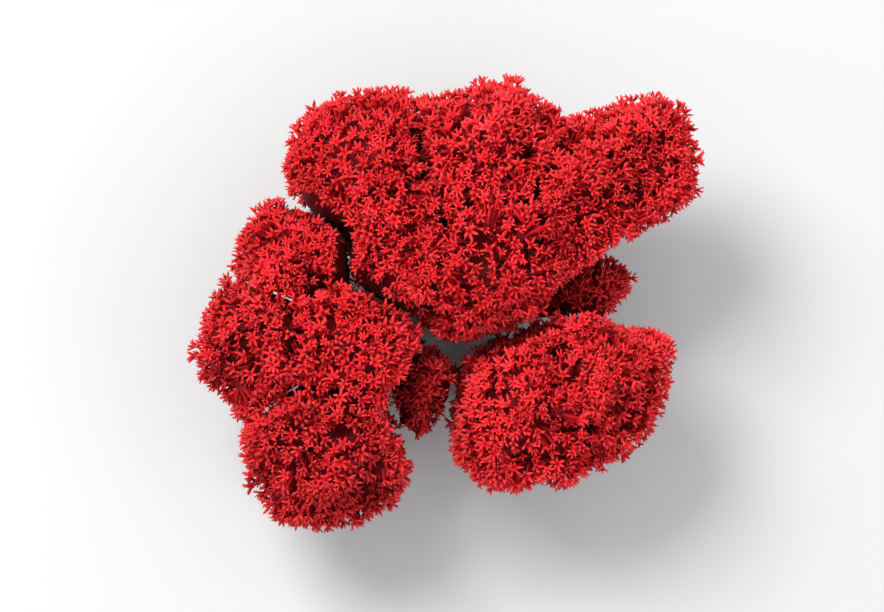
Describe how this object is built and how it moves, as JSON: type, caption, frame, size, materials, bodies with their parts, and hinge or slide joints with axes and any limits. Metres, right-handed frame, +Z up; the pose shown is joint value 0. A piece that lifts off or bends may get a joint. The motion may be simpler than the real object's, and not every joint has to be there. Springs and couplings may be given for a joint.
{
  "type": "reindeer moss clump",
  "caption": "Clump of red-dyed preserved reindeer lichen: dense rounded heads of forked twigs on short cut stems, standing on its stem ends.",
  "frame": {"origin": "on the ground under the middle of the clump's outline", "axes": "+Z up, away from the cut stem ends; +X along the longer side of the clump; +Y along the shorter side, up the picture in the picture"},
  "size_m": [0.0766, 0.0688, 0.0423],
  "materials": {
    "lichen_bright": "matte",
    "lichen_red": "matte",
    "lichen_dull": "matte"
  },
  "bodies": {
    "root": {"head_01": "lichen_dull", "head_02": "lichen_red", "head_03": "lichen_dull", "head_04": "lichen_red", "head_05": "lichen_red", "head_06": "lichen_red", "head_07": "lichen_bright", "head_08": "lichen_red", "head_09": "lichen_red", "head_10": "lichen_bright", "head_11": "lichen_bright", "head_12": "lichen_bright", "head_13": "lichen_dull", "head_14": "lichen_dull"}
  },
  "joints": []
}
